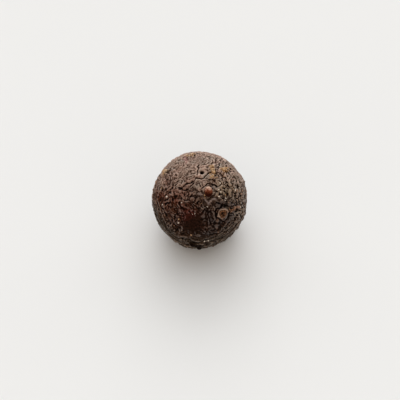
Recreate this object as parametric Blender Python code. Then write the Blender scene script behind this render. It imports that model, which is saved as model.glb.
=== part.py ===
"""Black peppercorn: one dried pepper berry, about 5 mm across.

The berry is a single solid. Its skin has shrunk onto the seed, so it carries a raised net of
wrinkles, with long folds low on its front and right, and a few marks: a pinhole, two beads, a
ring-shaped scab in a moat, a raised plate, welts, cracks, flakes, a smooth hollow and the dark
nub where its stalk was.

Metres, +Z up. The origin is in the middle of the flat spot that the berry rests on. The marked
side, called the face here, looks towards -Y and up.
"""

import math

import bmesh
import bpy
import numpy as np

MM = 0.001

# Overall size in millimetres
WIDTH = 5.00
DEPTH = 5.12
HEIGHT = 4.90
RADIUS = WIDTH / 2
REST_SPOT_RADIUS = 0.85

# The face looks this far up from the level
FACE_TILT = math.radians(50)

# Each of the six patches of skin has this many cells along a side
CELLS = 28

# Relief of the whole skin in millimetres: how far apart and how high or deep
SWELL_LENGTH = 3.2
SWELL_HEIGHT = 0.022
NET_SPACING = 0.72
NET_HEIGHT = 0.070
NET_RIDGE_WIDTH = 0.34
NET_DRIFT = 0.12
FOLD_SPACING = 0.50
FOLD_HEIGHT = 0.036
FOLD_DRIFT = 0.20

# Marks in millimetres, placed (across, up) from the middle of the face as seen square on
PINHOLE = (0.12, 1.49)
PINHOLE_RADIUS = 0.15
PINHOLE_DEPTH = 0.12
BEAD = (0.48, 0.45)
BEAD_RADIUS = 0.23
BEAD_STRETCH = 1.35
BEAD_HEIGHT = 0.17
SMALL_BEAD = (-0.39, 0.05)
SMALL_BEAD_RADIUS = 0.16
SMALL_BEAD_HEIGHT = 0.08
SCAB = (1.23, -0.69)
SCAB_RIM_RADIUS = 0.24
SCAB_RIM_WIDTH = 0.09
SCAB_HEIGHT = 0.08
MOAT_RADIUS = 0.42
MOAT_WIDTH = 0.09
MOAT_DEPTH = 0.04
NUB = ((-0.42, -2.22), (-0.16, -2.34), (0.04, -2.43))
NUB_RADIUS = 0.13
NUB_HEIGHT = 0.14
PLATE = (0.00, 0.82)
PLATE_RADIUS = 0.38
PLATE_HEIGHT = 0.045
HOLLOW = (-0.35, -1.25)
HOLLOW_RADIUS = 0.66
HOLLOW_DEPTH = 0.05
FLAKES = (
    ((0.66, 1.72), (0.72, 1.42), (0.70, 1.15)),
    ((1.14, 1.60), (1.22, 1.48), (1.40, 1.60)),
    ((-0.72, 2.28), (-0.28, 2.28)),
    ((-1.72, 1.50), (-1.88, 1.36)),
    ((1.74, -0.55), (1.92, -0.40), (2.08, -0.30)),
    ((1.18, -1.00), (0.92, -1.02), (0.90, -1.32), (0.98, -1.62)),
)
FLAKE_RADIUS = 0.14
FLAKE_HEIGHT = 0.055
WELTS = (
    ((-0.04, 0.28), (0.20, 0.20)),
    ((0.18, 0.00), (0.36, -0.08), (0.60, -0.06)),
    ((0.50, 0.06), (0.84, 0.14)),
    ((0.52, 0.76), (0.70, 0.66)),
)
WELT_WIDTH = 0.11
WELT_HEIGHT = 0.045
CRACKS = (
    ((-0.71, 0.88), (-0.22, 1.12), (0.16, 1.15), (0.55, 1.44)),
    ((-1.11, 0.65), (-0.55, 0.49), (-0.35, 0.88)),
    ((0.09, 0.54), (0.42, 0.88), (0.62, 0.90), (0.94, 0.71)),
    ((-1.18, -0.36), (-1.20, -0.72), (-1.50, -1.10)),
    ((1.95, 0.75), (2.12, 0.10), (2.05, -0.75)),
)
CRACK_WIDTH = 0.14
CRACK_DEPTH = 0.07


def on_face(across, up):
    """The point of the round berry, about its middle, that the face shows at (across, up)."""
    towards = math.sqrt(max(RADIUS**2 - across**2 - up**2, 0))
    point = np.array(
        [
            across,
            up * math.sin(FACE_TILT) - towards * math.cos(FACE_TILT),
            up * math.cos(FACE_TILT) + towards * math.sin(FACE_TILT),
        ]
    )
    return point * RADIUS / np.linalg.norm(point)


def seen_on_face(skin):
    """Where the face shows each point of the skin: across, up and towards the eye, in radii."""
    across = skin[:, 0]
    up = skin[:, 1] * math.sin(FACE_TILT) + skin[:, 2] * math.cos(FACE_TILT)
    towards = skin[:, 2] * math.sin(FACE_TILT) - skin[:, 1] * math.cos(FACE_TILT)
    return across / RADIUS, up / RADIUS, towards / RADIUS


def hill(distance, radius):
    """1 in the middle, falling smoothly to nothing beyond the radius."""
    return np.exp(-((distance / radius) ** 2))


def step_between(value, low, high):
    """0 below low, 1 above high, and smooth between them."""
    t = np.clip((value - low) / (high - low), 0, 1)
    return t * t * (3 - 2 * t)


def waves(skin, length, seed, count=48):
    """A smooth random field of about unit size, whose swells lie a length apart."""
    rng = np.random.default_rng(seed)
    headings = rng.normal(size=(count, 3))
    headings /= np.linalg.norm(headings, axis=1)[:, None]
    turns = headings * (2 * math.pi / length * rng.uniform(0.7, 1.3, count))[:, None]
    phases = rng.uniform(0, 2 * math.pi, count)
    return np.cos(skin @ turns.T + phases).sum(axis=1) * math.sqrt(2 / count)


def drifted(skin, amount, length, seed):
    """The skin's points pushed about smoothly, which makes a regular pattern wander."""
    pushes = [waves(skin, length, seed + axis) for axis in range(3)]
    return skin + amount * np.stack(pushes, axis=1)


def net_cells(seed):
    """Middles of the net's meshes: points spread evenly over the ball, then jogged."""
    count = round(4 * math.pi * RADIUS**2 / NET_SPACING**2)
    index = np.arange(count) + 0.5
    height = 1 - 2 * index / count
    turn = index * math.pi * (3 - math.sqrt(5))
    ring = np.sqrt(1 - height**2)
    cells = RADIUS * np.stack([ring * np.cos(turn), ring * np.sin(turn), height], axis=1)
    cells += np.random.default_rng(seed).normal(scale=0.3 * NET_SPACING, size=cells.shape)
    return cells * RADIUS / np.linalg.norm(cells, axis=1)[:, None]


def net(skin):
    """The raised net: high where two of its meshes meet, low in their middles."""
    cells = net_cells(seed=11)
    skin = drifted(skin, NET_DRIFT, 1.4, seed=21)
    apart = np.linalg.norm(skin[:, None, :] - cells[None, :, :], axis=2)
    nearest = np.partition(apart, 1, axis=1)
    return hill(nearest[:, 1] - nearest[:, 0], NET_RIDGE_WIDTH)


def net_strength(skin):
    """The net is low on the smooth crown of the face, full below it and strongest behind."""
    across, up, towards = seen_on_face(skin)
    crown = step_between(up + 0.25 * towards, 0.25, 0.85)
    behind = step_between(-towards, -0.1, 0.5)
    patchy = 0.85 + 0.2 * waves(skin, 1.9, seed=31)
    return (1 - 0.62 * crown) * patchy * (1 + 1.2 * behind)


def folds(skin):
    """Long folds that run round the face near its lower left and right edges."""
    across, up, towards = seen_on_face(skin)
    from_middle = RADIUS * np.arccos(np.clip(towards, -1, 1))
    wander = FOLD_DRIFT * waves(skin, 1.5, seed=41)
    ripple = np.cos(2 * math.pi * (from_middle + wander) / FOLD_SPACING)
    band = step_between(from_middle, 1.7, 2.4) * (1 - step_between(from_middle, 4.2, 5.2))
    lower_left = step_between(-0.75 * up - 0.55 * across, 0.25, 0.6)
    right = step_between(across - 0.35 * up, 0.45, 0.75)
    return ripple * band * np.maximum(lower_left, right)


def distance_to_line(skin, line):
    """Distance of each point of the skin to a line drawn on the face."""
    nearest = np.full(len(skin), np.inf)
    points = [on_face(*place) for place in line]
    for start, end in zip(points, points[1:]):
        run = end - start
        share = np.clip((skin - start) @ run / (run @ run), 0, 1)
        nearest = np.minimum(nearest, np.linalg.norm(skin - start - share[:, None] * run, axis=1))
    return nearest


def distance_to_mark(skin, place):
    """Distance of each point of the skin to a mark on the face."""
    return np.linalg.norm(skin - on_face(*place), axis=1)


def distance_to_bead(skin):
    """Distance of each point of the skin to the bead, which is taller than it is wide."""
    offset = skin - on_face(*BEAD)
    along = offset @ np.array([0, math.sin(FACE_TILT), math.cos(FACE_TILT)])
    return np.sqrt((offset**2).sum(axis=1) - (1 - 1 / BEAD_STRETCH**2) * along**2)


def dome(distance, radius):
    """A round bead: 1 on top, with steep sides that end at the radius."""
    return np.sqrt(np.clip(1 - (distance / radius) ** 2, 0, 1))


def flat_top(distance, radius):
    """A plate: 1 on top, with a short slope at the radius."""
    return 1 - step_between(distance / radius, 0.75, 1.05)


def nearest_line(skin, lines, width):
    """1 along any of the lines, falling to nothing beyond the width."""
    return np.max([hill(distance_to_line(skin, line), width) for line in lines], axis=0)


def marks(skin):
    """Relief of the berry's single marks."""
    from_scab = distance_to_mark(skin, SCAB)
    wandering = drifted(skin, 0.05, 0.5, seed=145)
    rise = -PINHOLE_DEPTH * hill(distance_to_mark(skin, PINHOLE), PINHOLE_RADIUS)
    rise += BEAD_HEIGHT * dome(distance_to_bead(skin), BEAD_RADIUS)
    rise += SMALL_BEAD_HEIGHT * dome(distance_to_mark(skin, SMALL_BEAD), SMALL_BEAD_RADIUS)
    rise += SCAB_HEIGHT * hill(from_scab - SCAB_RIM_RADIUS, SCAB_RIM_WIDTH)
    rise -= MOAT_DEPTH * hill(from_scab - MOAT_RADIUS, MOAT_WIDTH)
    rise += PLATE_HEIGHT * flat_top(distance_to_mark(wandering, PLATE), PLATE_RADIUS)
    rise += NUB_HEIGHT * hill(distance_to_line(skin, NUB), NUB_RADIUS)
    rise += FLAKE_HEIGHT * nearest_line(skin, FLAKES, FLAKE_RADIUS)
    rise += WELT_HEIGHT * nearest_line(wandering, WELTS, WELT_WIDTH)
    rise -= CRACK_DEPTH * nearest_line(skin, CRACKS, CRACK_WIDTH)
    return rise


def room_for_marks(skin):
    """0 on the beads, the scab and the smooth hollow, where the net gives way, and 1 elsewhere."""
    room = 1 - hill(distance_to_bead(skin), BEAD_RADIUS * 1.3)
    room *= 1 - hill(distance_to_mark(skin, SMALL_BEAD), SMALL_BEAD_RADIUS * 1.3)
    room *= 1 - hill(distance_to_mark(skin, SCAB), SCAB_RIM_RADIUS * 1.5)
    room *= 1 - hill(distance_to_mark(skin, PINHOLE), PINHOLE_RADIUS * 1.6)
    room *= 1 - 0.75 * nearest_line(skin, WELTS, WELT_WIDTH * 1.6)
    room *= 0.12 + 0.88 * step_between(distance_to_mark(skin, HOLLOW) / HOLLOW_RADIUS, 0.55, 1.25)
    return room


def relief(skin):
    """How far the skin stands out of the round ball, in millimetres."""
    rise = SWELL_HEIGHT * waves(skin, SWELL_LENGTH, seed=1, count=24)
    room = room_for_marks(skin)
    rise += NET_HEIGHT * net(skin) * net_strength(skin) * room
    rise += FOLD_HEIGHT * folds(skin) * room
    rise -= HOLLOW_DEPTH * hill(distance_to_mark(skin, HOLLOW), HOLLOW_RADIUS)
    return rise + marks(skin)


def stretched_to(points, size):
    """The points moved and stretched so that their box has this size and its floor is at 0."""
    low = points.min(axis=0)
    high = points.max(axis=0)
    middle = (low + high) / 2
    middle[2] = low[2]
    return (points - middle) * size / (high - low)


def ball_directions(cube):
    """Unit vectors through a gridded cube's points, spread so that its cells are alike."""
    spread = np.tan(cube * math.pi / 4)
    return spread / np.linalg.norm(spread, axis=1)[:, None]


def berry_points(cube):
    """The skin's points in millimetres, with the flat spot below them."""
    direction = ball_directions(cube)
    skin = direction * RADIUS
    points = direction * (RADIUS + relief(skin))[:, None]
    spot_level = -math.sqrt(RADIUS**2 - REST_SPOT_RADIUS**2)
    points[:, 2] = np.maximum(points[:, 2], spot_level)
    return stretched_to(points, np.array([WIDTH, DEPTH, HEIGHT]))


def gridded_cube(cells):
    """A mesh of the cube from -1 to 1, with each side a grid of cells."""
    grid = bmesh.new()
    bmesh.ops.create_cube(grid, size=2)
    bmesh.ops.subdivide_edges(grid, edges=grid.edges, cuts=cells - 1, use_grid_fill=True)
    mesh = bpy.data.meshes.new("peppercorn")
    grid.to_mesh(mesh)
    grid.free()
    return mesh


def dried_skin_material():
    """Dark brown dried skin with a slight shine."""
    material = bpy.data.materials.new("dried_skin")
    material.use_nodes = True
    shader = material.node_tree.nodes["Principled BSDF"]
    shader.inputs["Base Color"].default_value = (0.085, 0.045, 0.030, 1)
    shader.inputs["Roughness"].default_value = 0.62
    shader.inputs["Metallic"].default_value = 0.0
    return material


def peppercorn():
    """The berry as one object."""
    mesh = gridded_cube(CELLS)
    cube = np.empty(len(mesh.vertices) * 3)
    mesh.vertices.foreach_get("co", cube)
    points = berry_points(cube.reshape(-1, 3)) * MM
    mesh.vertices.foreach_set("co", points.ravel())
    mesh.materials.append(dried_skin_material())
    mesh.shade_smooth()
    mesh.update()
    return bpy.data.objects.new("peppercorn", mesh)


def main():
    for thing in list(bpy.data.objects):
        bpy.data.objects.remove(thing)
    collection = bpy.data.collections.new("black_peppercorn")
    bpy.context.scene.collection.children.link(collection)
    collection.objects.link(peppercorn())


main()
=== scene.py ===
"""A black peppercorn as it looks: one dried, wrinkled berry resting on a pale surface.

The berry is one skin, pushed out of a round ball by formulas. It has the raised net, the long folds and
nearly all the single marks of its solid, and over them fine winding wrinkles and crumbly grains. Loose
crumbs of its husk lie on it, and pale specks in set places stand for glints. Its colours paint shade
in the valleys and on the lower face, and sheen and highlights on the crown, the ridges and the outline.
Lengths are in millimetres until a mesh is made, and +Z is up. The marked side, called the face here,
looks towards -Y and up, at the camera.
"""

import math

import bmesh
import bpy
import numpy as np
from mathutils import Matrix, Vector


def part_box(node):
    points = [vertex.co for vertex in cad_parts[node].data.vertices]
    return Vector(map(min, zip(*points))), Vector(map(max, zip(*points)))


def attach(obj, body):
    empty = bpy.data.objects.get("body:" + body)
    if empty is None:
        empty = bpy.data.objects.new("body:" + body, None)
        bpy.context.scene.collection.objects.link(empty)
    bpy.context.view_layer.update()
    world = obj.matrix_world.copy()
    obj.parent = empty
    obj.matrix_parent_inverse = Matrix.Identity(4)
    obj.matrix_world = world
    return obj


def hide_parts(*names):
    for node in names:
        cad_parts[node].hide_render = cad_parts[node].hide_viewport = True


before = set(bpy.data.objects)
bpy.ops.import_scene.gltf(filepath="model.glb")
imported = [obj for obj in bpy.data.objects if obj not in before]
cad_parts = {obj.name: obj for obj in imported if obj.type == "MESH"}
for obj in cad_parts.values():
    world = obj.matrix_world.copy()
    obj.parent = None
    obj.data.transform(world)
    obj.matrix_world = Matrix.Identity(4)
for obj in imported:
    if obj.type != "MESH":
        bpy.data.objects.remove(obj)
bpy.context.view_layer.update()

MM = 0.001
NODE_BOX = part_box("peppercorn")

# The ball that the skin is pushed out of
RADIUS = 2.5
REST_SPOT_RADIUS = 0.85
FACE_TILT = math.radians(50)
CELLS = 128

# Relief that the solid has too: how far apart and how high or deep
SWELL_LENGTH = 3.2
SWELL_HEIGHT = 0.022
NET_SPACING = 0.72
NET_HEIGHT = 0.070
NET_RIDGE_WIDTH = 0.34
NET_DRIFT = 0.12
NET_LESS_ON_CROWN = 0.62
NET_MORE_BEHIND = 1.2
FOLD_SPACING = 0.50
FOLD_HEIGHT = 0.036
FOLD_DRIFT = 0.20

# Finer relief of the skin alone
WRINKLE_SPACING = 0.18
WRINKLE_HEIGHT = 0.037
WRINKLE_STEEPNESS = 0.8
BROAD_WRINKLE_SPACING = 0.34
BROAD_WRINKLE_HEIGHT = 0.024
CREST_SPACING = 0.95
CREST_WIDTH = 0.20
CREST_HEIGHT = 0.034
WRINKLE_RUNS = (40, -38, 5, 95)
WRINKLE_STRETCH = 0.62
WRINKLE_PATCH = 0.60
CREASE_SPACING = 0.90
CREASE_WIDTH = 0.045
CREASE_DEPTH = 0.06
FINE_WRINKLE_SPACING = 0.12
FINE_WRINKLE_HEIGHT = 0.006
GRAIN_SPACING = 0.30
GRAIN_HEIGHT = 0.120
SMOOTH_CROWN = 0.42

# Height for the colours: rounds that smooth the near and the wide surroundings, and the rise that counts 1
THIN_ROUNDS = 3
THIN_RELIEF = 0.0195
WIDE_ROUNDS = 40
WIDE_RELIEF = 0.080
CRUMBLY_CONTRAST = 1.3

# Marks, placed (across, up) from the middle of the face as seen square on
PINHOLE = (0.12, 1.44)
PINHOLE_RADIUS = 0.10
PINHOLE_DEPTH = 0.30
BEAD = (0.48, 0.40)
BEAD_RADIUS = 0.22
BEAD_STRETCH = 1.35
BEAD_HEIGHT = 0.19
BEAD_SEAT_RADIUS = BEAD_RADIUS * 1.2
BEAD_SEAT_WIDTH = 0.06
BEAD_SEAT_DEPTH = 0.030
SMALL_BEAD = (-0.39, 0.00)
SMALL_BEAD_RADIUS = 0.14
SMALL_BEAD_HEIGHT = 0.09
SCAB = (1.23, -0.74)
SCAB_RIM_RADIUS = 0.25
SCAB_RIM_WIDTH = 0.048
SCAB_HEIGHT = 0.08
MOAT_RADIUS = 0.40
MOAT_WIDTH = 0.06
MOAT_DEPTH = 0.06
SWIRL = (-1.25, 1.23)
SWIRL_RADIUS = 0.12
SWIRL_WIDTH = 0.045
SWIRL_HEIGHT = 0.035
NUB = ((-0.42, -2.27), (-0.16, -2.39), (0.04, -2.48))
NUB_RADIUS = 0.09
NUB_HEIGHT = 0.16
PLATE = (0.00, 0.77)
PLATE_RADIUS = 0.38
PLATE_HEIGHT = 0.05
SHOULDER = (1.55, 1.95)
SHOULDER_RADIUS = 0.60
SHOULDER_HEIGHT = 0.060
FLUSH = (-0.70, -0.77)
FLUSH_RADIUS = 0.36
HOLLOW = (-0.35, -1.30)
HOLLOW_RADIUS = 0.66
HOLLOW_DEPTH = 0.05
# Lines of painted shade on the lower right of the face
SHADE = (
    ((0.98, -0.26), (1.30, -0.24), (1.60, -0.45), (1.50, -1.00)),
    ((0.45, -0.75), (0.60, -1.15), (1.10, -1.10), (0.70, -1.70), (0.25, -1.80)),
)
SHADE_RADIUS = 0.44
TAN_PATCH = (1.36, 0.48)
TAN_PATCH_RADIUS = 0.48
BESIDE_BEAD = (0.58, 0.08)
BESIDE_BEAD_RADIUS = 0.50
FLAKES = (
    ((0.66, 1.67), (0.72, 1.37), (0.70, 1.10)),
    ((1.14, 1.55), (1.22, 1.43), (1.40, 1.55)),
    ((-0.72, 2.23), (-0.28, 2.23)),
    ((-1.72, 1.45), (-1.88, 1.31)),
)
CREAM_FLAKES = FLAKES[2:]
STAIN = ((-0.76, 2.21), (-0.72, 1.93))
RUSTY_SCAB = ((1.52, -0.58), (1.74, -0.46), (1.92, -0.42), (2.08, -0.35))
RUSTY_LINE = ((1.18, -1.05), (0.92, -1.07), (0.90, -1.37), (0.98, -1.67))
FLAKE_RADIUS = 0.11
FLAKE_HEIGHT = 0.06
WELTS = (
    ((-0.04, 0.23), (0.20, 0.15)),
    ((0.22, -0.05), (0.45, -0.17), (0.70, -0.05), (0.92, 0.05)),
    ((0.52, 0.71), (0.70, 0.61)),
)
WELT_WIDTH = 0.12
WELT_HEIGHT = 0.055
CRACKS = (
    ((-0.71, 0.83), (-0.44, 0.89), (-0.22, 1.07), (-0.07, 1.13), (0.16, 1.10), (0.34, 1.26), (0.55, 1.39)),
    ((-0.05, 1.80), (-0.12, 1.51), (-0.14, 1.35)),
    ((-0.47, 0.71), (-0.35, 0.83)),
    ((-1.11, 0.60), (-0.87, 0.49), (-0.55, 0.44)),
    ((0.09, 0.49), (0.28, 0.71), (0.42, 0.83), (0.62, 0.85), (0.94, 0.66)),
    ((-1.18, -0.41), (-1.20, -0.77), (-1.50, -1.15)),
    ((1.95, 0.70), (2.12, 0.05), (2.05, -0.80)),
    ((0.70, 1.95), (0.62, 1.77)),
    ((0.90, -0.17), (1.10, -0.25), (1.38, -0.35)),
    ((1.12, 1.57), (1.16, 1.49)),
)
CRACK_WIDTH = 0.050
CRACK_DEPTH = 0.09

# Loose crumbs of the husk: how many lie by chance, and the pale ones in set places, which are painted
# glints as well as crumbs
CRUMBS = 300
CRUMB_SIZES = (0.018, 0.048)
LOWEST_CRUMB = 0.1
GLINT_SPECK_SIZE = 0.04
GLINT_SPECKS = (
    (-1.98, -0.35), (-0.93, -0.26), (-0.39, -0.86), (-0.24, -0.86), (-1.08, -1.30), (1.10, 0.80),
    (1.89, 0.41), (1.38, -0.02), (0.44, -0.47), (0.44, -2.19), (0.28, -2.26), (1.10, 1.68), (-1.75, 0.07),
    (1.01, 0.46), (1.13, 0.32), (1.34, -0.12), (1.07, 0.06), (2.12, -0.46), (1.88, 0.46),
)

# Edges of the face's regions, from where the change begins to where it is done, in radii of the ball
CROWN_EDGE = (0.25, 0.85)
LOWER_LEFT_FOLDS = (0.25, 0.60)
RIGHT_FOLDS = (0.45, 0.75)
LEFT_SIDE = (-0.1, 0.3)
LEFT_SIDE_BOTTOM = (-0.4, 0.0)
LEFT_SIDE_TOP = (0.3, 0.55)
CRUMBLY_RIGHT = (0.12, 0.42)
CRUMBLY_BOTTOM = (-0.60, -0.30)
# The crown's dust and painted sheen: paler towards the top of the face, where the light falls
DUST_AND_SHEEN_EDGE = (-0.10, 0.75)
RUDDY_EDGE = (-0.20, 0.40)
RUDDY_BOTTOM = (0.25, 0.60)
# Where the painted sheen along the outline reaches, low on the face
LIMB_SHEEN_BOTTOM = (0.20, 0.60)

# The same for how far the skin is turned away from the eye: -1 faces it, 0 is the outline, 1 the back
NET_BACK = (-0.1, 0.5)
WRINKLE_BACK = (-0.3, 0.4)
CRUMBLY_BACK = (0.0, 0.3)
COLOUR_BACK = (-0.05, 0.5)
# Painted sheen near the outline: less red, and olive-grey low on the face
RUDDY_LIMB = (-0.60, -0.25)
LIMB_SHEEN_OUTLINE = (-0.75, -0.40)

# The band that the long folds fill, by distance along the skin from the middle of the face
FOLD_BAND_START = (1.7, 2.4)
FOLD_BAND_END = (4.2, 5.2)

# Light of the studio, by where it comes from, and of the window behind the berry, in metres and watts
BACK_LIGHT = (1.96, 1.99, 2.00)
FRONT_LIGHT = (0.84, 0.71, 0.59)
TOP_LIGHT = (0.54, 0.57, 0.59)
LOW_LIGHT = (0.53, 0.485, 0.445)
WINDOW_ELEVATION = math.radians(24)
WINDOW_DISTANCE = 1.0
WINDOW_SIZE = 0.7
WINDOW_POWER = 3.0

# Half the width of the floor, in metres
FLOOR_REACH = 1.5

# The photograph's frame: its width and the berry's in pixels, and a pixel's size at the berry
FRAME_PIXELS = 400
BERRY_PIXELS = 95.6
PIXEL_SIZE = RADIUS * 2 / BERRY_PIXELS
BERRY_CENTRE_PIXEL = (199.4, 198.6)
CAMERA_DISTANCE = 260.0
SENSOR_WIDTH = 36.0

# The nearest and the farthest that the camera sees, in metres
CAMERA_REACH = (0.01, 10)

# Colours of the skin's regions and of its marks
# Near black: painted shade in the deepest valleys and between the flakes, and the scab's dark speckles and
# middle
VALLEY = (0.0022, 0.0010, 0.0006)
# Paler valleys in the crown's dust and painted sheen
DUST_AND_SHEEN_VALLEY = (0.046, 0.023, 0.015)
BROWN = (0.031, 0.0140, 0.0070)
REGION_COLOURS = {
    "ruddy": (0.055, 0.0128, 0.0048),
    # The crown: its dust, and painted sheen of the light from behind and above
    "dust_and_sheen": (0.222, 0.149, 0.116),
    "tan": (0.175, 0.110, 0.058),
    # Near black: painted shade on the lower face, and the back darker
    "dark": (0.0115, 0.0042, 0.0024),
    "flush": (0.040, 0.0085, 0.0055),
    # Olive-grey painted sheen along the lower outline
    "painted_limb_sheen": (0.026, 0.017, 0.0105),
}
GREY_PATCH = (0.80, 0.86, 0.86)
PINK_PATCH = (1.25, 1.15, 1.12)
# Paler ridges and their grey tops: wear, and painted highlights and glints of the light on them
RIDGE_HIGHLIGHT_GAIN = (2.7, 3.0, 3.1)
WORN_GREY_AND_GLINT = (0.215, 0.150, 0.108)
GRAIN_TAN = (0.20, 0.145, 0.100)
OCHRE = (0.62, 0.37, 0.15)
OCHRE_DARK = (0.14, 0.052, 0.013)
CREAM = (0.62, 0.47, 0.33)
STAIN_PINK = (0.24, 0.10, 0.095)
# The bead's colours: painted shade in dark red, its own amber, and a painted highlight
BEAD_SHADED_RED = (0.018, 0.0025, 0.0012)
BEAD_AMBER = (0.20, 0.050, 0.020)
BEAD_HIGHLIGHT = (0.58, 0.38, 0.28)
SCAB_BROWN = (0.24, 0.105, 0.050)
RUST = (0.19, 0.080, 0.034)
RIM_TAN = (0.28, 0.175, 0.115)
WELT_GREY = (0.185, 0.150, 0.148)
# Near black: painted shade in the pinhole, and the dark nub
PIT_BLACK = (0.0040, 0.0014, 0.0007)
# Pale tan of the crumbs, which at its palest paints the glints of the specks
CRUMB_TAN = (0.80, 0.70, 0.58)
FLOOR_TINTS = ((0.79, 0.79, 0.785), (0.81, 0.81, 0.805))

# Heights between which one colour of the relief gives way to the next
# Low skin is darkened as painted shade and high skin is paled as painted highlights
DEEPEST_TO_VALLEY = (-1.1, -0.3)
VALLEY_TO_BODY = (0.0, 0.50)
BODY_TO_RIDGE = (0.55, 1.0)
RIDGE_TO_WORN_GLINT = (1.0, 1.6)

# Sizes of the noise in the materials, and ranges of its values: nearly all, the middle and the upper ones
SPECKLE_SIZE = 0.07
PATCH_SIZE = 0.45
GLOSS_SIZE = 0.16
GRIT_SIZE = 0.03
TINT_SIZE = 60.0
NOISE_RANGE = (0.30, 0.70)
NOISE_MIDDLE = (0.35, 0.65)
NOISE_TOPS = (0.42, 0.60)


def on_face(across, up):
    """The point of the round berry, about its middle, that the face shows at (across, up)."""
    towards = math.sqrt(max(RADIUS**2 - across**2 - up**2, 0))
    point = np.array(
        [
            across,
            up * math.sin(FACE_TILT) - towards * math.cos(FACE_TILT),
            up * math.cos(FACE_TILT) + towards * math.sin(FACE_TILT),
        ]
    )
    return point * RADIUS / np.linalg.norm(point)


def seen_on_face(skin):
    """Where the face shows each point of the skin: across, up and towards the eye, in radii."""
    across = skin[:, 0]
    up = skin[:, 1] * math.sin(FACE_TILT) + skin[:, 2] * math.cos(FACE_TILT)
    towards = skin[:, 2] * math.sin(FACE_TILT) - skin[:, 1] * math.cos(FACE_TILT)
    return across / RADIUS, up / RADIUS, towards / RADIUS


def hill(distance, radius):
    """1 in the middle, falling smoothly to nothing beyond the radius."""
    return np.exp(-((distance / radius) ** 2))


def step_between(value, low, high):
    """0 below low, 1 above high, and smooth between them."""
    t = np.clip((value - low) / (high - low), 0, 1)
    return t * t * (3 - 2 * t)


def turned_away(skin, edge):
    """0 where the skin is turned away from the eye less than the edge's start, 1 beyond its end."""
    return step_between(-seen_on_face(skin)[2], *edge)


def waves(skin, length, seed, count=48, spread=0.3):
    """A smooth random field of about unit size. Its swells lie a length apart, give or take the spread."""
    rng = np.random.default_rng(seed)
    headings = rng.normal(size=(count, 3))
    headings /= np.linalg.norm(headings, axis=1)[:, None]
    turns = headings * (2 * math.pi / length * rng.uniform(1 - spread, 1 + spread, count))[:, None]
    phases = rng.uniform(0, 2 * math.pi, count)
    return np.cos(skin @ turns.T + phases).sum(axis=1) * math.sqrt(2 / count)


def drifted(skin, amount, length, seed):
    """The skin's points pushed about smoothly, which makes a regular pattern wander."""
    pushes = [waves(skin, length, seed + axis) for axis in range(3)]
    return skin + amount * np.stack(pushes, axis=1)


def bent(skin):
    """The skin's points pushed about so that a mark gets a bent edge."""
    return drifted(skin, 0.05, 0.5, seed=145)


def ragged(skin):
    """The skin's points pushed about so that a mark gets a ragged edge."""
    return drifted(skin, 0.05, 0.18, seed=121)


def spread_points(spacing, seed):
    """Points spread evenly over the ball and then jogged, about a spacing apart."""
    count = round(4 * math.pi * RADIUS**2 / spacing**2)
    index = np.arange(count) + 0.5
    height = 1 - 2 * index / count
    turn = index * math.pi * (3 - math.sqrt(5))
    ring = np.sqrt(1 - height**2)
    points = RADIUS * np.stack([ring * np.cos(turn), ring * np.sin(turn), height], axis=1)
    points += np.random.default_rng(seed).normal(scale=0.3 * spacing, size=points.shape)
    return points * RADIUS / np.linalg.norm(points, axis=1)[:, None]


def two_nearest(skin, points):
    """Distances from the skin to the nearest of the points and to the next, and which is nearest."""
    near, next_near, which = [], [], []
    for part in np.array_split(skin, 16):
        squares = (part**2).sum(axis=1)[:, None] + RADIUS**2 - 2 * part @ points.T
        order = np.argpartition(squares, 1, axis=1)[:, :2]
        distances = np.sqrt(np.maximum(np.take_along_axis(squares, order, axis=1), 0))
        near.append(distances[:, 0])
        next_near.append(distances[:, 1])
        which.append(order[:, 0])
    return np.concatenate(near), np.concatenate(next_near), np.concatenate(which)


def net(skin):
    """The raised net: high where two of its meshes meet, low in their middles."""
    wandering = drifted(skin, NET_DRIFT, 1.4, seed=21)
    nearest, second, _ = two_nearest(wandering, spread_points(NET_SPACING, seed=11))
    return hill(second - nearest, NET_RIDGE_WIDTH)


def crown(skin):
    """1 on the smooth, upper part of the face, and 0 below it and behind."""
    _, up, towards = seen_on_face(skin)
    return step_between(up + 0.25 * towards, *CROWN_EDGE)


def net_strength(skin):
    """The net is low on the smooth crown of the face, full below it and strongest behind."""
    strength = 0.85 + 0.2 * waves(skin, 1.9, seed=31)
    behind = turned_away(skin, NET_BACK)
    return (1 - NET_LESS_ON_CROWN * crown(skin)) * strength * (1 + NET_MORE_BEHIND * behind)


def from_middle_of_face(skin):
    """Distance of each point along the skin from the middle of the face."""
    return RADIUS * np.arccos(np.clip(seen_on_face(skin)[2], -1, 1))


def fold_share(skin):
    """Where long folds run round the face: near its lower left and right edges."""
    across, up, _ = seen_on_face(skin)
    distance = from_middle_of_face(skin)
    band = step_between(distance, *FOLD_BAND_START) * (1 - step_between(distance, *FOLD_BAND_END))
    lower_left = step_between(-0.75 * up - 0.55 * across, *LOWER_LEFT_FOLDS)
    right = step_between(across - 0.35 * up, *RIGHT_FOLDS)
    return band * np.maximum(lower_left, right)


def fold_ripple(skin, spacing):
    """Ripples that run round the middle of the face, a spacing apart."""
    wander = FOLD_DRIFT * waves(skin, 1.5, seed=41)
    return np.cos(2 * math.pi * (from_middle_of_face(skin) + wander) / spacing)


def distance_to_line(skin, line):
    """Distance of each point of the skin to a line drawn on the face."""
    nearest = np.full(len(skin), np.inf)
    points = [on_face(*place) for place in line]
    for start, end in zip(points, points[1:]):
        run = end - start
        share = np.clip((skin - start) @ run / (run @ run), 0, 1)
        nearest = np.minimum(nearest, np.linalg.norm(skin - start - share[:, None] * run, axis=1))
    return nearest


def distance_to_mark(skin, place):
    """Distance of each point of the skin to a mark on the face."""
    return np.linalg.norm(skin - on_face(*place), axis=1)


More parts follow.
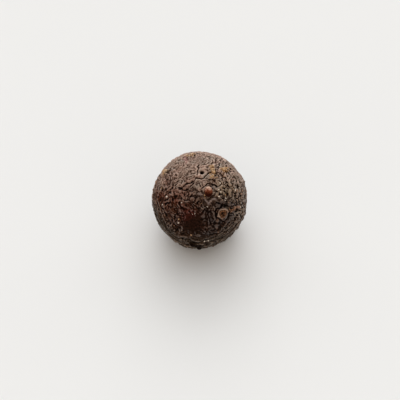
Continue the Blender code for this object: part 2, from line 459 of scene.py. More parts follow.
def distance_to_bead(skin):
    """Distance of each point of the skin to the bead, which is taller than it is wide."""
    offset = skin - on_face(*BEAD)
    along = offset @ np.array([0, math.sin(FACE_TILT), math.cos(FACE_TILT)])
    return np.sqrt((offset**2).sum(axis=1) - (1 - 1 / BEAD_STRETCH**2) * along**2)


def nearest_line(skin, lines, width):
    """1 along any of the lines, falling to nothing beyond the width."""
    return np.max([hill(distance_to_line(skin, line), width) for line in lines], axis=0)


def flat_top(distance, radius):
    """A plate: 1 on top, with a short slope at the radius."""
    return 1 - step_between(distance / radius, 0.75, 1.05)


def dome(distance, radius):
    """A round bead: 1 on top, with steep sides that end at the radius."""
    return np.sqrt(np.clip(1 - (distance / radius) ** 2, 0, 1))


def bead_rise(skin):
    """Relief of the bead alone."""
    return BEAD_HEIGHT * dome(distance_to_bead(skin), BEAD_RADIUS)


def scab_rim(skin):
    """1 along the scab's uneven raised rim."""
    uneven = drifted(skin, 0.030, 0.32, seed=131)
    rim = hill(distance_to_mark(uneven, SCAB) - SCAB_RIM_RADIUS, SCAB_RIM_WIDTH)
    return rim * (0.80 + 0.30 * waves(skin, 0.4, seed=135))


def marks(skin):
    """Relief of the berry's single marks, but for the bead."""
    rise = -PINHOLE_DEPTH * hill(distance_to_mark(skin, PINHOLE), PINHOLE_RADIUS)
    seat = hill(distance_to_bead(skin) - BEAD_SEAT_RADIUS, BEAD_SEAT_WIDTH)
    rise -= BEAD_SEAT_DEPTH * seat * (1 + 0.9 * waves(skin, 0.4, seed=149))
    rise += SMALL_BEAD_HEIGHT * dome(distance_to_mark(skin, SMALL_BEAD), SMALL_BEAD_RADIUS)
    rise += SCAB_HEIGHT * scab_rim(skin)
    wandering = bent(skin)
    rise += PLATE_HEIGHT * flat_top(distance_to_mark(wandering, PLATE), PLATE_RADIUS)
    rise += SWIRL_HEIGHT * hill(distance_to_mark(skin, SWIRL) - SWIRL_RADIUS, SWIRL_WIDTH)
    rise += NUB_HEIGHT * hill(distance_to_line(skin, NUB), NUB_RADIUS)
    rise += FLAKE_HEIGHT * nearest_line(skin, FLAKES, FLAKE_RADIUS)
    rise += FLAKE_HEIGHT * nearest_line(wandering, (RUSTY_SCAB, RUSTY_LINE), FLAKE_RADIUS)
    rise -= MOAT_DEPTH * hill(distance_to_mark(wandering, SCAB) - MOAT_RADIUS, MOAT_WIDTH)
    rise += WELT_HEIGHT * nearest_line(wandering, WELTS, WELT_WIDTH)
    return rise


def room_for_marks(skin):
    """0 on the beads, the scab and the smooth hollow, where the net gives way, and 1 elsewhere."""
    room = 1 - hill(distance_to_bead(skin), BEAD_RADIUS * 1.3)
    room *= 1 - hill(distance_to_mark(skin, SMALL_BEAD), SMALL_BEAD_RADIUS * 1.3)
    room *= 1 - hill(distance_to_mark(skin, SCAB), SCAB_RIM_RADIUS * 1.5)
    room *= 1 - hill(distance_to_mark(skin, PINHOLE), PINHOLE_RADIUS * 2.5)
    room *= 1 - 0.75 * nearest_line(skin, WELTS, WELT_WIDTH * 1.6)
    room *= 0.12 + 0.88 * step_between(distance_to_mark(skin, HOLLOW) / HOLLOW_RADIUS, 0.55, 1.25)
    return room


def streaks(skin, angle, spacing, seed):
    """Winding ripples that run at about this angle over the face."""
    turn = math.radians(angle)
    run = np.array(
        [
            math.cos(turn),
            math.sin(turn) * math.sin(FACE_TILT),
            math.sin(turn) * math.cos(FACE_TILT),
        ]
    )
    wandering = drifted(skin, 0.25 * spacing, 2.8 * spacing, seed)
    squeezed = wandering - WRINKLE_STRETCH * (wandering @ run)[:, None] * run
    return waves(squeezed, spacing, seed + 5, count=160, spread=0.6)


def left_side(skin):
    """1 on the left of the face, where the wrinkles cross each other."""
    across, up, _ = seen_on_face(skin)
    height = step_between(up, *LEFT_SIDE_BOTTOM) * (1 - step_between(up, *LEFT_SIDE_TOP))
    return step_between(-across, *LEFT_SIDE) * height


def ripples(skin, spacing, seed):
    """Ripples of about unit size, in patches that run different ways. On the left the first two rule."""
    left = left_side(skin)
    total, weight = 0, 0
    for index, angle in enumerate(WRINKLE_RUNS):
        own = seed + 10 * index
        share = np.exp(1.6 * waves(skin, WRINKLE_PATCH, own + 7) + (1.2 * left if index < 2 else 0))
        total = total + share * streaks(skin, angle, spacing, own)
        weight = weight + share**2
    ripple = total / np.sqrt(weight)
    round_face = 1.4 * fold_ripple(skin, 1.6 * spacing)
    share = 0.9 * fold_share(skin) * step_between(waves(skin, 0.7, seed + 46), -1.2, 0.4)
    return ripple * (1 - share) + round_face * share


def patchy(skin, length, seed):
    """How strong a pattern is: from nothing in some patches to full in others."""
    return step_between(waves(skin, length, seed), -1.3, 0.8)


def crests(skin):
    """Thin winding ridges, far apart: 1 along their tops."""
    return hill(ripples(skin, CREST_SPACING, seed=251), CREST_WIDTH) * patchy(skin, 0.7, seed=301)


def creases(skin):
    """Thin winding creases between plates of the skin: 1 along a crease."""
    wandering = drifted(skin, 0.10, 0.45, seed=81)
    nearest, second, _ = two_nearest(wandering, spread_points(CREASE_SPACING, seed=91))
    share = step_between(waves(skin, 0.9, seed=95), 0.2, 1.0)
    return hill(second - nearest, CREASE_WIDTH) * share * (1 - 0.8 * crown(skin))


def crumbly(skin):
    """Where the skin has broken into grains: on the right of the face, on the flakes and behind."""
    across, up, towards = seen_on_face(skin)
    right = step_between(across + 0.15 * up, *CRUMBLY_RIGHT) * step_between(towards, 0.1, 0.45)
    right *= step_between(up, *CRUMBLY_BOTTOM)
    patches = step_between(waves(skin, 2.2, seed=101), 0.5, 1.2) * turned_away(skin, CRUMBLY_BACK)
    golden = nearest_line(ragged(skin), FLAKES, FLAKE_RADIUS * 1.2)
    return np.max([right, patches, golden], axis=0)


def grains(skin):
    """Height of the crumbly grains, and a tone from 0 to 1 that each grain has of its own."""
    cells = spread_points(GRAIN_SPACING, seed=107)
    nearest, _, which = two_nearest(drifted(skin, 0.07, 0.25, seed=105), cells)
    draw = np.random.default_rng(109)
    size = draw.uniform(0.15, 1.0, len(cells))[which]
    tone = draw.uniform(0, 1, len(cells))[which]
    height = dome(nearest, GRAIN_SPACING * 0.66) * size * crumbly(skin)
    return height, tone


def coarse_relief(skin, room):
    """The swell, the fuller shoulder, the net, the long folds and the hollow."""
    rise = SWELL_HEIGHT * waves(skin, SWELL_LENGTH, seed=1, count=24)
    rise += SHOULDER_HEIGHT * hill(distance_to_mark(skin, SHOULDER), SHOULDER_RADIUS)
    rise += NET_HEIGHT * net(skin) * net_strength(skin) * room
    rise += FOLD_HEIGHT * fold_ripple(skin, FOLD_SPACING) * fold_share(skin) * room
    rise -= HOLLOW_DEPTH * hill(distance_to_mark(skin, HOLLOW), HOLLOW_RADIUS)
    return rise


def wrinkles(skin, room):
    """The winding wrinkles, fine and broad, the crests and the creases."""
    on_crown, behind = crown(skin), turned_away(skin, WRINKLE_BACK)
    bed = (1 - SMOOTH_CROWN * on_crown) * (0.15 + 0.85 * room)
    fine = np.tanh(WRINKLE_STEEPNESS * ripples(skin, WRINKLE_SPACING, seed=51)) * bed
    fine *= 0.35 + 0.80 * np.maximum(patchy(skin, 1.1, seed=303), left_side(skin))
    fine *= (1 - 0.75 * crumbly(skin)) * (1 - 0.50 * behind) * (1 - 0.3 * fold_share(skin))
    broad = np.tanh(WRINKLE_STEEPNESS * ripples(skin, BROAD_WRINKLE_SPACING, seed=351)) * bed
    broad *= (1 - 0.2 * on_crown) * (1 + 0.8 * crumbly(skin)) * (1 - 0.3 * behind)
    finest = waves(drifted(skin, 0.03, 0.2, seed=113), FINE_WRINKLE_SPACING, seed=111, count=120)
    rise = WRINKLE_HEIGHT * fine
    rise += BROAD_WRINKLE_HEIGHT * broad * (0.3 + 0.7 * patchy(skin, 1.2, seed=305))
    rise += CREST_HEIGHT * crests(skin) * bed * (1 - 0.8 * on_crown)
    rise += FINE_WRINKLE_HEIGHT * finest * (0.4 + 0.6 * room)
    rise -= CREASE_DEPTH * creases(skin) * room * (1 - 0.7 * behind)
    return rise


def relief(skin):
    """How far the skin stands out of the ball, but for its bead, and each grain's height and tone."""
    room = room_for_marks(skin)
    grain, tone = grains(skin)
    grain *= room
    crack = nearest_line(drifted(skin, 0.02, 0.25, seed=71), CRACKS, CRACK_WIDTH)
    rise = coarse_relief(skin, room) + marks(skin) + wrinkles(skin, room)
    rise += GRAIN_HEIGHT * grain * (1 + 0.5 * nearest_line(skin, FLAKES, FLAKE_RADIUS * 1.2))
    rise -= CRACK_DEPTH * crack
    return rise, {"grain": grain, "tone": tone}


def region_shares(skin):
    """Shares of the colours of the skin's regions, which also paint shade and sheen."""
    across, up, towards = seen_on_face(skin)
    behind = turned_away(skin, COLOUR_BACK)
    mottle = 0.07 * waves(skin, 0.9, seed=141) - 0.10 * step_between(-across, 0.1, 0.7)
    by_bead = 0.16 * hill(distance_to_mark(skin, BESIDE_BEAD), BESIDE_BEAD_RADIUS)
    # Dust and painted sheen: paler towards the top of the face and beside the bead
    dust_and_sheen = step_between(up + 0.1 * towards + mottle + by_bead, *DUST_AND_SHEEN_EDGE)
    ruddy = step_between(-across + 0.25 * up + mottle, *RUDDY_EDGE)
    ruddy *= 1 - 0.7 * step_between(-up - 0.5 * across, *RUDDY_BOTTOM)
    # Painted shade around the hollow and along the shade lines; the back is darker too
    hollow = hill(distance_to_mark(skin, HOLLOW), HOLLOW_RADIUS * 1.65)
    shade = 0.95 * nearest_line(skin, SHADE, SHADE_RADIUS)
    tan = hill(distance_to_mark(drifted(skin, 0.10, 0.5, seed=149), TAN_PATCH), TAN_PATCH_RADIUS)
    # Painted sheen along the lower outline
    painted_limb_sheen = step_between(-up - 0.2 * across, *LIMB_SHEEN_BOTTOM) * turned_away(skin, LIMB_SHEEN_OUTLINE)
    return {
        "dust_and_sheen": dust_and_sheen * (1 - 0.75 * behind),
        # Less red near the outline: painted sheen
        "ruddy": ruddy * (1 - 0.6 * turned_away(skin, RUDDY_LIMB)),
        "dark": np.max([hollow, shade, 0.35 * behind], axis=0),
        "tan": 0.65 * tan,
        "painted_limb_sheen": 0.8 * painted_limb_sheen,
        "flush": hill(distance_to_mark(drifted(skin, 0.08, 0.6, seed=147), FLUSH), FLUSH_RADIUS),
    }


def mark_shares(skin):
    """Shares of the single marks' own colours, and how high on the bead each point lies."""
    across, up, _ = seen_on_face(skin)
    pit = hill(distance_to_mark(skin, PINHOLE), PINHOLE_RADIUS * 1.15)
    nub = hill(distance_to_line(skin, NUB), NUB_RADIUS * 1.3)
    edge = ragged(skin)
    rusty_scab = nearest_line(edge, (RUSTY_SCAB,), FLAKE_RADIUS * 1.2)
    rusty_line = nearest_line(edge, (RUSTY_LINE,), FLAKE_RADIUS)
    # Painted highlight: the rim is paler towards its upper left, where the light falls
    scab_rim_lit_side = ((up - 0.7 * across) * RADIUS - SCAB[1] + 0.7 * SCAB[0]) / SCAB_RIM_RADIUS
    return {
        "bead": dome(distance_to_bead(skin), BEAD_RADIUS),
        "bead_lift": (up * RADIUS - BEAD[1]) / (BEAD_RADIUS * BEAD_STRETCH),
        "scab": hill(distance_to_mark(drifted(skin, 0.03, 0.3, seed=133), SCAB), SCAB_RIM_RADIUS),
        "rim": scab_rim(skin) * (0.7 + 0.3 * np.tanh(scab_rim_lit_side)),
        "pit": np.maximum(pit, nub),
        "ochre": nearest_line(edge, FLAKES, FLAKE_RADIUS),
        "cream": nearest_line(edge, CREAM_FLAKES, FLAKE_RADIUS * 1.3),
        "stain": hill(distance_to_line(edge, STAIN), FLAKE_RADIUS),
        "rust": np.maximum(rusty_scab, 0.40 * rusty_line),
        "welt": nearest_line(bent(skin), WELTS, WELT_WIDTH),
    }


def stretched_to(points, low, high):
    """The points moved and stretched to fill the box between two corners."""
    share = (points - points.min(axis=0)) / np.ptp(points, axis=0)
    return np.array(low) + share * (np.array(high) - np.array(low))


def gridded_cube(name, cells):
    """A mesh of the cube from -1 to 1, with each side a grid of cells."""
    grid = bmesh.new()
    bmesh.ops.create_cube(grid, size=2)
    bmesh.ops.subdivide_edges(grid, edges=grid.edges, cuts=cells - 1, use_grid_fill=True)
    return mesh_of(grid, name)


def mesh_of(grid, name):
    """A mesh of what the grid holds, which is then freed."""
    mesh = bpy.data.meshes.new(name)
    grid.to_mesh(mesh)
    grid.free()
    return mesh


def placed(name, data):
    """A new object of the scene."""
    made = bpy.data.objects.new(name, data)
    bpy.context.scene.collection.objects.link(made)
    return made


def vertex_rows(mesh, what):
    """The mesh's points ("co") or the directions that they face ("normal"), as rows of an array."""
    rows = np.empty(len(mesh.vertices) * 3)
    mesh.vertices.foreach_get(what, rows)
    return rows.reshape(-1, 3)


def add_share(mesh, name, values):
    """Stores a number for each point, which the material reads by its name."""
    layer = mesh.attributes.new(name, "FLOAT", "POINT")
    layer.data.foreach_set("value", values.astype(np.float32))


def share_values(mesh, name):
    """The stored numbers of a mesh's points."""
    values = np.empty(len(mesh.vertices))
    mesh.attributes[name].data.foreach_get("value", values)
    return values


def above_around(mesh, rise, rounds):
    """How far each point stands above the skin around it, which more rounds make wider."""
    ends = np.empty(len(mesh.edges) * 2, dtype=np.int32)
    mesh.edges.foreach_get("vertices", ends)
    first, second = ends.reshape(-1, 2).T
    count = np.bincount(ends, minlength=len(rise))
    around = rise
    for _ in range(rounds):
        total = np.bincount(first, around[second], len(rise))
        total += np.bincount(second, around[first], len(rise))
        around = (around + total / count) / 2
    return rise - around


def lay_out_map(mesh, cube):
    """Lays the cube's six sides out as six squares of one map, three across and two up."""
    corners = np.empty(len(mesh.loops), dtype=np.int64)
    mesh.loops.foreach_get("vertex_index", corners)
    places = cube[corners].reshape(-1, 4, 3)
    middles = places.mean(axis=1)
    axis = np.abs(middles).argmax(axis=1)
    faces = np.arange(len(middles))
    side = axis + 3 * (middles[faces, axis] > 0)
    first = np.take_along_axis(places, ((axis + 1) % 3)[:, None, None], axis=2)[:, :, 0]
    second = np.take_along_axis(places, ((axis + 2) % 3)[:, None, None], axis=2)[:, :, 0]
    margin = 0.01
    column, row = side % 3, side // 3
    u = (column[:, None] + margin + (1 - 2 * margin) * (first + 1) / 2) / 3
    v = (row[:, None] + margin + (1 - 2 * margin) * (second + 1) / 2) / 2
    layer = mesh.uv_layers.new(name="OFBake")
    layer.data.foreach_set("uv", np.stack([u, v], axis=2).ravel())


def height_share(mesh, skin, rise):
    """How high each point is for the colours. Level skin is at 0.5, and crumbly skin has more contrast."""
    # Low points get painted shade from this, and high ones painted highlights
    height = above_around(mesh, rise, THIN_ROUNDS) / THIN_RELIEF
    height += above_around(mesh, rise, WIDE_ROUNDS) / WIDE_RELIEF
    return 0.5 + height * (1 + CRUMBLY_CONTRAST * crumbly(skin))


def skin_mesh():
    """The berry's skin with its shares, filling the solid's box."""
    mesh = gridded_cube("peppercorn_skin", CELLS)
    cube = vertex_rows(mesh, "co")
    lay_out_map(mesh, cube)
    spread = np.tan(cube * math.pi / 4)
    direction = spread / np.linalg.norm(spread, axis=1)[:, None]
    skin = direction * RADIUS
    rise, shares = relief(skin)
    shares["height"] = height_share(mesh, skin, rise)
    points = direction * (RADIUS + rise + bead_rise(skin))[:, None]
    points[:, 2] = np.maximum(points[:, 2], -math.sqrt(RADIUS**2 - REST_SPOT_RADIUS**2))
    points = stretched_to(points, *NODE_BOX)
    mesh.vertices.foreach_set("co", points.ravel())
    for name, values in {**shares, **region_shares(skin), **mark_shares(skin)}.items():
        add_share(mesh, name, values)
    mesh.shade_smooth()
    mesh.update()
    return mesh


class Nodes:
    """Builds the nodes of a material or a world from short calls."""

    def __init__(self, owner, surface, coordinates):
        owner.use_nodes = True
        self.owner = owner
        self.tree = owner.node_tree
        self.surface = self.tree.nodes[surface]
        self.place = self.node("ShaderNodeTexCoord").outputs[coordinates]

    def node(self, kind, **settings):
        made = self.tree.nodes.new(kind)
        for name, value in settings.items():
            setattr(made, name, value)
        return made

    def join(self, source, target):
        """Feeds a socket with another socket or a plain value."""
        if isinstance(source, bpy.types.NodeSocket):
            self.tree.links.new(source, target)
        elif isinstance(source, tuple):
            target.default_value = (*source, 1) if len(source) == 3 else source
        else:
            target.default_value = source

    def math(self, operation, first, second=0.0):
        made = self.node("ShaderNodeMath", operation=operation)
        self.join(first, made.inputs[0])
        self.join(second, made.inputs[1])
        return made.outputs[0]

    def times(self, first, *others):
        """The product of numbers."""
        for other in others:
            first = self.math("MULTIPLY", first, other)
        return first

    def scaled(self, colour, amount):
        """A colour times a number."""
        made = self.node("ShaderNodeVectorMath", operation="SCALE")
        made.inputs[0].default_value = colour
        self.join(amount, made.inputs["Scale"])
        return made.outputs[0]

    def added(self, first, second):
        """The sum of two colours."""
        made = self.node("ShaderNodeVectorMath", operation="ADD")
        self.join(first, made.inputs[0])
        self.join(second, made.inputs[1])
        return made.outputs[0]

    def ramp(self, value, low, high, start=0.0, end=1.0):
        """start where the value is at low, end at high, and even between them."""
        made = self.node("ShaderNodeMapRange", clamp=True)
        for socket, number in zip(made.inputs, (value, low, high, start, end)):
            self.join(number, socket)
        return made.outputs[0]

    def share(self, name):
        """A number stored on the mesh."""
        return self.node("ShaderNodeAttribute", attribute_name=name).outputs["Fac"]

    def rising(self, name, low, high, most=1.0):
        """0 where the stored number is at low, rising to the most at high."""
        return self.ramp(self.share(name), low, high, 0.0, most)

    def falling(self, name, least, low=0.0, high=1.0):
        """1 where the stored number is at low, falling to the least at high."""
        return self.ramp(self.share(name), low, high, 1.0, least)

    def mix(self, share, first, second, blend="MIX"):
        made = self.node("ShaderNodeMix", data_type="RGBA", blend_type=blend)
        self.join(share, made.inputs["Factor"])
        self.join(first, made.inputs["A"])
        self.join(second, made.inputs["B"])
        return made.outputs["Result"]

    def noise(self, size, detail=2.0, roughness=0.5, distortion=0.0):
        """Soft noise whose lumps are about this size in millimetres."""
        made = self.node("ShaderNodeTexNoise")
        self.join(self.place, made.inputs["Vector"])
        made.inputs["Scale"].default_value = 1 / (size * MM)
        made.inputs["Detail"].default_value = detail
        made.inputs["Roughness"].default_value = roughness
        made.inputs["Distortion"].default_value = distortion
        return made.outputs[0]

    def bump(self, height, depth):
        """A direction tilted as by relief of this depth in millimetres."""
        made = self.node("ShaderNodeBump")
        made.inputs["Distance"].default_value = depth * MM
        self.join(height, made.inputs["Height"])
        return made.outputs["Normal"]

    def set(self, **values):
        """Sets the surface's sockets, named with underscores for spaces."""
        for name, value in values.items():
            self.join(value, self.surface.inputs[name.replace("_", " ")])


def material_nodes(name):
    """The nodes of a new material."""
    return Nodes(bpy.data.materials.new(name), "Principled BSDF", "Object")


def body_colour(nodes):
    """The skin's colour by region, with grey and pink patches."""
    body = BROWN
    for name, colour in REGION_COLOURS.items():
        body = nodes.mix(nodes.share(name), body, colour)
    patches = nodes.ramp(nodes.noise(PATCH_SIZE, detail=4, roughness=0.65), *NOISE_MIDDLE)
    return nodes.mix(1.0, body, nodes.mix(patches, GREY_PATCH, PINK_PATCH), blend="MULTIPLY")


def valley_colour(nodes, level):
    """Painted shade in the valleys: brown in the dust and sheen, black in the deepest ones and between the
    flakes.
    """
    valley = nodes.mix(nodes.share("dust_and_sheen"), VALLEY, DUST_AND_SHEEN_VALLEY)
    valley = nodes.mix(nodes.rising("ochre", 0.1, 0.5), valley, VALLEY)
    return nodes.mix(nodes.ramp(level, *DEEPEST_TO_VALLEY), VALLEY, valley)


def worn_and_highlighted(nodes, colour, body, level):
    """Adds the paler ridges and grey-brown tops, wear and painted highlights in one, and the pale grains.
    """
    # Paler ridges: painted highlights
    ridge = nodes.mix(1.0, body, RIDGE_HIGHLIGHT_GAIN, blend="MULTIPLY")
    ridges = nodes.times(
        nodes.ramp(level, *BODY_TO_RIDGE), nodes.falling("dust_and_sheen", 0.50), nodes.falling("dark", 0.60)
    )
    colour = nodes.mix(ridges, colour, ridge)
    # Grey tops of the highest ridges: wear, and painted glints
    tops = nodes.times(
        nodes.ramp(level, *RIDGE_TO_WORN_GLINT, 0.0, 0.62),
        nodes.falling("dust_and_sheen", 0.50),
        nodes.falling("dark", 0.12),
    )
    colour = nodes.mix(tops, colour, WORN_GREY_AND_GLINT)
    grain = nodes.times(nodes.share("grain"), nodes.rising("tone", 0.6, 0.95), nodes.falling("dark", 0.4))
    return nodes.mix(grain, colour, GRAIN_TAN)


def flaked(nodes, colour, speckle):
    """Adds the pink stain and the crumbly flakes, which are ochre or cream on their lumps."""
    lump = nodes.times(nodes.share("grain"), nodes.ramp(speckle, *NOISE_RANGE, 0.7, 1.3))
    golden = nodes.mix(nodes.ramp(lump, 0.25, 0.75), OCHRE_DARK, OCHRE)
    golden = nodes.mix(nodes.rising("cream", 0.2, 0.6, 0.75), golden, CREAM)
    colour = nodes.mix(nodes.rising("stain", 0.2, 0.8, 0.6), colour, STAIN_PINK)
    flakes = nodes.times(nodes.rising("ochre", 0.2, 0.6), nodes.ramp(lump, 0.08, 0.22))
    return nodes.mix(flakes, colour, golden)


def scabbed(nodes, colour, speckle, level):
    """Adds the grey welts, the rusty flakes and the ring scab with its dark middle and its rim."""
    tops = nodes.ramp(speckle, *NOISE_TOPS)
    colour = nodes.mix(nodes.times(nodes.rising("welt", 0.3, 1.0, 0.85), tops), colour, WELT_GREY)
    rust = nodes.times(nodes.rising("rust", 0.2, 0.7), nodes.ramp(level, 0.3, 0.9))
    colour = nodes.mix(rust, colour, RUST)
    scab = nodes.mix(tops, VALLEY, SCAB_BROWN)
    scab = nodes.mix(nodes.rising("scab", 0.80, 0.92), scab, VALLEY)
    colour = nodes.mix(nodes.rising("scab", 0.3, 0.7), colour, scab)
    # The rim, with a painted highlight on its upper left
    rim = nodes.times(nodes.rising("rim", 0.3, 0.65), nodes.ramp(speckle, 0.34, 0.52, 0.25, 1.0))
    return nodes.mix(rim, colour, RIM_TAN)


def bead_colour(nodes, speckle):
    """The bead: painted shade in dark red below, amber across its middle and a painted highlight on top.
    """
    lift = nodes.math("ADD", nodes.share("bead_lift"), nodes.ramp(speckle, *NOISE_RANGE, -0.4, 0.4))
    bead = nodes.mix(nodes.ramp(lift, -0.5, 0.3), BEAD_SHADED_RED, BEAD_AMBER)
    return nodes.mix(nodes.ramp(lift, 0.15, 0.7), bead, BEAD_HIGHLIGHT)


def skin_colour(nodes, speckle):
    """Painted valley shade and ridge highlights in each region's colours, and over them the marks' own."""
    level = nodes.math("ADD", nodes.share("height"), nodes.ramp(speckle, *NOISE_RANGE, -0.20, 0.20))
    body = body_colour(nodes)
    colour = nodes.mix(nodes.ramp(level, *VALLEY_TO_BODY), valley_colour(nodes, level), body)
    colour = worn_and_highlighted(nodes, colour, body, level)
    colour = flaked(nodes, colour, speckle)
    colour = scabbed(nodes, colour, speckle, level)
    colour = nodes.mix(nodes.rising("bead", 0.0, 0.3), colour, bead_colour(nodes, speckle))
    return nodes.mix(nodes.rising("pit", 0.2, 0.6), colour, PIT_BLACK)


def skin_shine(nodes):
    """Share of waxy gloss: on the ridges, less where there is dust and painted sheen, and on top of the
    bead.
    """
    ridges = nodes.times(
        nodes.rising("height", 0.75, 1.0, 0.9),
        nodes.falling("dust_and_sheen", 0.35),
        nodes.falling("bead", 0.0, high=0.1),
        nodes.falling("pit", 0.0, low=0.1, high=0.4),
    )
    bead_top = nodes.times(nodes.rising("bead", 0.0, 0.3), nodes.rising("bead_lift", -0.2, 0.5, 0.2))
    return nodes.math("MAXIMUM", ridges, bead_top)


def skin_material():
    """Dried skin, with painted shade and sheen: matt dust over a slightly waxy wrinkled surface, and a
    glossy bead.
    """
    nodes = material_nodes("dried_skin")
    speckle = nodes.noise(SPECKLE_SIZE, detail=4, roughness=0.6, distortion=0.4)
    rough = nodes.ramp(nodes.noise(GLOSS_SIZE, detail=3), *NOISE_MIDDLE, 0.45, 0.75)
    nodes.set(Base_Color=skin_colour(nodes, speckle), Roughness=rough, Normal=nodes.bump(speckle, 0.014))
    nodes.set(Specular_IOR_Level=0.04, Specular_Tint=(1.0, 0.62, 0.42))
    nodes.set(Coat_Weight=skin_shine(nodes), Coat_Roughness=0.22)
    nodes.set(Sheen_Weight=0.07, Sheen_Roughness=0.30, Sheen_Tint=(1.0, 0.98, 0.84))
    return nodes.owner


def crumb_material():
    """Crumbs of the husk, from rusty and ochre to pale tan."""
    nodes = material_nodes("husk_crumbs")
    colour = nodes.mix(nodes.rising("tone", 0.0, 0.5), RUST, OCHRE)
    colour = nodes.mix(nodes.rising("tone", 0.5, 1.0), colour, CRUMB_TAN)
    grit = nodes.noise(GRIT_SIZE, detail=3)
    colour = nodes.mix(nodes.ramp(grit, *NOISE_MIDDLE, 0.0, 0.5), colour, SCAB_BROWN)
    rough = nodes.ramp(grit, *NOISE_RANGE, 0.35, 0.60)
    nodes.set(Base_Color=colour, Roughness=rough, Normal=nodes.bump(grit, 0.006))
    return nodes.owner


def add_crumb(grid, place, outward, size, draw):
    """Adds one uneven chip, half sunk in the skin, and returns its corners."""
    turn = Vector(outward).to_track_quat("Z", "Y").to_matrix().to_4x4()
    spin = Matrix.Rotation(draw.uniform(0, 2 * math.pi), 4, "Z")
    shape = Matrix.Diagonal((*(draw.uniform(0.6, 1.5, 2) * size), 0.6 * size, 1))
    made = bmesh.ops.create_icosphere(grid, subdivisions=1, radius=1)["verts"]
    for corner in made:
        corner.co *= draw.uniform(0.7, 1.25)
        corner.co = Vector(place) + turn @ spin @ shape @ corner.co
    return made


def crumb_weights(shares, points):
    """How likely a crumb is at each point: most on the flakes, less on grains, least in valleys."""
    weight = 30 * shares["ochre"] ** 2 + 0.35 * shares["grain"] + 0.06 * (shares["height"] < 0.4)
    weight[points[:, 2] < LOWEST_CRUMB * MM] = 0
    return weight / weight.sum()


def glint_speck_points(points):
    """The skin's points that the pale specks, painted glints, sit on."""
    middle = (points.max(axis=0) + points.min(axis=0)) / 2
    bearing = (points - middle) / np.linalg.norm(points - middle, axis=1)[:, None]
    return [int((bearing @ (on_face(*place) / RADIUS)).argmax()) for place in GLINT_SPECKS]


def crumbs(berry):
    """Loose husk crumbs: thick on the flakes, thin on the crumbly side, and a few pale specks as painted
    glints.
    """
    points, outward = vertex_rows(berry.data, "co"), vertex_rows(berry.data, "normal")
    shares = {name: share_values(berry.data, name) for name in ("ochre", "grain", "height")}
    draw = np.random.default_rng(151)
    chosen = draw.choice(len(points), CRUMBS, replace=False, p=crumb_weights(shares, points))
    specks = glint_speck_points(points)
    sizes = [draw.uniform(*CRUMB_SIZES) for _ in chosen] + [GLINT_SPECK_SIZE] * len(specks)
    grid = bmesh.new()
    tones = []
    for index, size in zip([*chosen, *specks], sizes):
        made = add_crumb(grid, points[index], outward[index], size * MM, draw)
        palest = 0.8 if shares["ochre"][index] > 0.2 else 0.25
        # The specks take the palest tone: painted glints
        tones += [1.0 if index in specks else draw.uniform(0, palest)] * len(made)
    mesh = mesh_of(grid, "husk_crumbs")
    add_share(mesh, "tone", np.array(tones))
    mesh.materials.append(crumb_material())
    piece = placed("husk_crumbs", mesh)
    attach(piece, "root")


def peppercorn():
    """The berry's skin, standing for its solid."""
    piece = placed("peppercorn_skin", skin_mesh())
    piece.data.materials.append(skin_material())
    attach(piece, "root")
    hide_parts("peppercorn")
    return piece


def floor():
    """A plain pale surface under the berry."""
    grid = bmesh.new()
    bmesh.ops.create_grid(grid, x_segments=1, y_segments=1, size=FLOOR_REACH)
    plane = placed("floor", mesh_of(grid, "floor"))
    nodes = material_nodes("pale_floor")
    tint = nodes.ramp(nodes.noise(TINT_SIZE), *NOISE_RANGE)
    nodes.set(Base_Color=nodes.mix(tint, *FLOOR_TINTS), Roughness=0.7)
    plane.data.materials.append(nodes.owner)


def aim(thing, back):
    """Turns a light or a camera so that it looks the other way from back."""
    thing.rotation_mode = "QUATERNION"
    thing.rotation_quaternion = back.to_track_quat("Z", "Y")


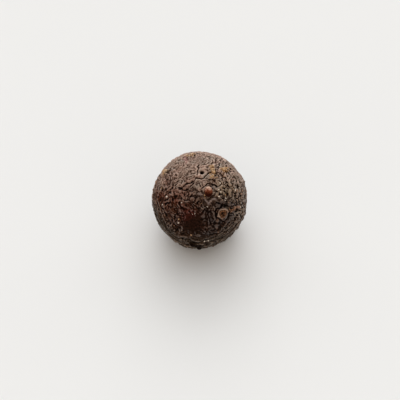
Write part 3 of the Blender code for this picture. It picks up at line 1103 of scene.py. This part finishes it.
def window():
    """A wide soft square light behind the berry."""
    light = bpy.data.lights.new("window", "AREA")
    light.shape = "SQUARE"
    light.size = WINDOW_SIZE
    light.energy = WINDOW_POWER
    lamp = placed("window", light)
    towards = Vector((0, math.cos(WINDOW_ELEVATION), math.sin(WINDOW_ELEVATION)))
    lamp.location = towards * WINDOW_DISTANCE
    aim(lamp, towards)


def studio():
    """Light from all round, brightest low behind the berry and dimmer in front and overhead."""
    nodes = Nodes(bpy.data.worlds.new("studio"), "Background", "Generated")
    direction = nodes.node("ShaderNodeSeparateXYZ")
    nodes.join(nodes.place, direction.inputs[0])
    height = nodes.math("MAXIMUM", direction.outputs["Z"], 0.0)
    behind = nodes.math("MAXIMUM", direction.outputs["Y"], 0.0)
    before = nodes.math("MAXIMUM", nodes.math("MULTIPLY", direction.outputs["Y"], -1.0), 0.0)
    low = nodes.math("POWER", nodes.math("SUBTRACT", 1.0, height), 2.0)
    colour = nodes.scaled(BACK_LIGHT, behind)
    colour = nodes.added(colour, nodes.scaled(FRONT_LIGHT, before))
    colour = nodes.added(colour, nodes.scaled(TOP_LIGHT, nodes.math("POWER", height, 2.0)))
    colour = nodes.added(colour, nodes.scaled(LOW_LIGHT, low))
    nodes.join(colour, nodes.surface.inputs["Color"])
    bpy.context.scene.world = nodes.owner


def camera():
    """Looks down on the face, with the berry as large and as high as in the photograph."""
    lens = bpy.data.cameras.new("camera")
    lens.sensor_width = SENSOR_WIDTH
    lens.lens = SENSOR_WIDTH * CAMERA_DISTANCE / (FRAME_PIXELS * PIXEL_SIZE)
    lens.clip_start, lens.clip_end = CAMERA_REACH
    view = placed("camera", lens)
    back = Vector((0, -math.cos(FACE_TILT), math.sin(FACE_TILT)))
    up = Vector((0, math.sin(FACE_TILT), math.cos(FACE_TILT)))
    half_frame = FRAME_PIXELS / 2
    offset = Vector((half_frame - BERRY_CENTRE_PIXEL[0], 0, 0)) + up * (BERRY_CENTRE_PIXEL[1] - half_frame)
    middle = Vector((0, 0, NODE_BOX[1][2] - RADIUS * MM))
    view.location = middle + (offset * PIXEL_SIZE + back * CAMERA_DISTANCE) * MM
    aim(view, back)
    bpy.context.scene.camera = view


camera()
floor()
studio()
window()
crumbs(peppercorn())
bpy.context.scene.view_settings.view_transform = "Standard"
